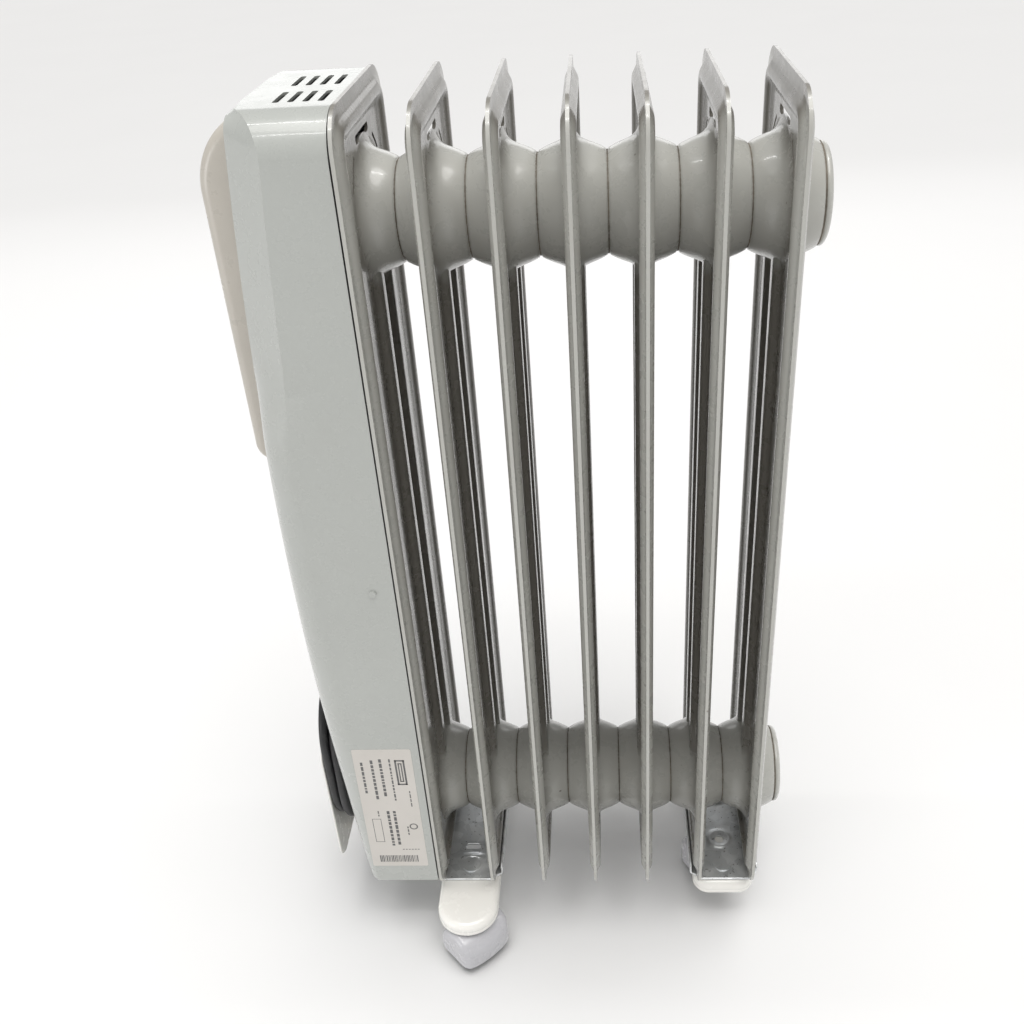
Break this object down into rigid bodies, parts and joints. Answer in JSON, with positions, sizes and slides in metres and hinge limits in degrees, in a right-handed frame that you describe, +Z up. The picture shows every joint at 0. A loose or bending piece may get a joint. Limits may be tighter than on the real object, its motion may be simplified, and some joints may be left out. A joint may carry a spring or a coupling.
{
  "type": "oil filled radiator heater",
  "caption": "Oil filled radiator: upright pressed steel fins on two headers, a control box with handle, wound mains cord, two foot channels and swivel castors on swing-out arms",
  "frame": {"origin": "on the floor, below the centre of the body's box without its cord", "axes": "+Z up; +X along the stack of fins, from the control box to the last fin; +Y from the near side to the far side"},
  "size_m": [0.3384, 0.2194, 0.6156],
  "materials": {
    "paint": "satin",
    "steel": "satin",
    "gasket": "matt",
    "element": "heat tinted",
    "cream": "satin",
    "dark_plastic": "matt",
    "lamp": "clear",
    "ceramic": "matt",
    "wire": "satin",
    "black_rubber": "matt",
    "brass": "satin",
    "label": "satin",
    "galvanised": "spangled zinc",
    "hood_grey": "satin",
    "roller": "matt"
  },
  "bodies": {
    "heater": {"fin_1": "paint", "fin_2": "paint", "fin_3": "paint", "fin_4": "paint", "fin_5": "paint", "fin_6": "paint", "fin_7": "paint", "end_cap_top": "paint", "end_cap_bottom": "paint", "inner_cap_top": "paint", "element_flange": "steel", "element_gasket": "gasket", "heating_element": "element", "element_bolts": "steel", "cover": "paint", "inner_plate": "steel", "plate_studs": "steel", "cover_screws": "steel", "front_bezel": "cream", "thermostat_body": "dark_plastic", "switch_housing": "dark_plastic", "pilot_lamp": "lamp", "thermal_cutout": "steel", "terminal_block": "ceramic", "internal_wires": "wire", "cord_hook": "cream", "strain_relief": "black_rubber", "cord_lead": "black_rubber", "cord_winding": "black_rubber", "cord_tail": "black_rubber", "plug_body": "black_rubber", "plug_blades": "brass", "rating_label": "label", "foot_channel_left": "galvanised", "foot_channel_right": "galvanised", "arm_rivets": "steel"},
    "knob": {"thermostat_knob": "cream", "thermostat_shaft": "steel"},
    "switch_1": {"rocker_1": "dark_plastic"},
    "switch_2": {"rocker_2": "dark_plastic"},
    "arm_near_left_body": {"arm_near_left": "cream"},
    "castor_near_left": {"stem_near_left": "steel", "hood_near_left": "hood_grey", "axle_near_left": "steel"},
    "roller_near_left": {"wheel_near_left": "roller"},
    "arm_near_right_body": {"arm_near_right": "cream"},
    "castor_near_right": {"stem_near_right": "steel", "hood_near_right": "hood_grey", "axle_near_right": "steel"},
    "roller_near_right": {"wheel_near_right": "roller"},
    "arm_far_left_body": {"arm_far_left": "cream"},
    "castor_far_left": {"stem_far_left": "steel", "hood_far_left": "hood_grey", "axle_far_left": "steel"},
    "roller_far_left": {"wheel_far_left": "roller"},
    "arm_far_right_body": {"arm_far_right": "cream"},
    "castor_far_right": {"stem_far_right": "steel", "hood_far_right": "hood_grey", "axle_far_right": "steel"},
    "roller_far_right": {"wheel_far_right": "roller"}
  },
  "joints": [
    {"name": "thermostat_turn", "type": "hinge", "parent": "heater", "child": "knob", "pos_m": [-0.14818, 0, 0.471], "axis": [1, 0, 0], "range_deg": [0, 270]},
    {"name": "rocker_1_press", "type": "hinge", "parent": "heater", "child": "switch_1", "pos_m": [-0.14417, -0.012, 0.429], "axis": [0, -1, 0], "range_deg": [0, 18]},
    {"name": "rocker_2_press", "type": "hinge", "parent": "heater", "child": "switch_2", "pos_m": [-0.14417, 0.012, 0.429], "axis": [0, -1, 0], "range_deg": [0, 18]},
    {"name": "arm_near_left_swing", "type": "hinge", "parent": "heater", "child": "arm_near_left_body", "pos_m": [-0.06632, -0.046, 0.04], "axis": [0, 0, 1], "range_deg": [0, 180]},
    {"name": "castor_near_left_swivel", "type": "hinge", "parent": "arm_near_left_body", "child": "castor_near_left", "pos_m": [-0.06632, -0.08, 0.037], "axis": [0, 0, 1], "continuous": true},
    {"name": "wheel_near_left_spin", "type": "hinge", "parent": "castor_near_left", "child": "roller_near_left", "pos_m": [-0.06125, -0.08525, 0.0155], "axis": [0.7193, 0.6947, 0], "continuous": true},
    {"name": "arm_near_right_swing", "type": "hinge", "parent": "heater", "child": "arm_near_right_body", "pos_m": [0.12618, -0.046, 0.04], "axis": [0, 0, 1], "range_deg": [0, 180]},
    {"name": "castor_near_right_swivel", "type": "hinge", "parent": "arm_near_right_body", "child": "castor_near_right", "pos_m": [0.12618, -0.012, 0.037], "axis": [0, 0, 1], "continuous": true},
    {"name": "wheel_near_right_spin", "type": "hinge", "parent": "castor_near_right", "child": "roller_near_right", "pos_m": [0.12252, -0.00568, 0.0155], "axis": [-0.866, -0.5, 0], "continuous": true},
    {"name": "arm_far_left_swing", "type": "hinge", "parent": "heater", "child": "arm_far_left_body", "pos_m": [-0.06632, 0.046, 0.04], "axis": [0, 0, -1], "range_deg": [0, 90]},
    {"name": "castor_far_left_swivel", "type": "hinge", "parent": "arm_far_left_body", "child": "castor_far_left", "pos_m": [-0.06632, 0.08, 0.037], "axis": [0, 0, 1], "continuous": true},
    {"name": "wheel_far_left_spin", "type": "hinge", "parent": "castor_far_left", "child": "roller_far_left", "pos_m": [-0.06125, 0.08525, 0.0155], "axis": [-0.7193, 0.6947, 0], "continuous": true},
    {"name": "arm_far_right_swing", "type": "hinge", "parent": "heater", "child": "arm_far_right_body", "pos_m": [0.12618, 0.046, 0.04], "axis": [0, 0, 1], "range_deg": [0, 90]},
    {"name": "castor_far_right_swivel", "type": "hinge", "parent": "arm_far_right_body", "child": "castor_far_right", "pos_m": [0.12618, 0.08, 0.037], "axis": [0, 0, 1], "continuous": true},
    {"name": "wheel_far_right_spin", "type": "hinge", "parent": "castor_far_right", "child": "roller_far_right", "pos_m": [0.11919, 0.07787, 0.0155], "axis": [0.2924, -0.9563, 0], "continuous": true}
  ]
}
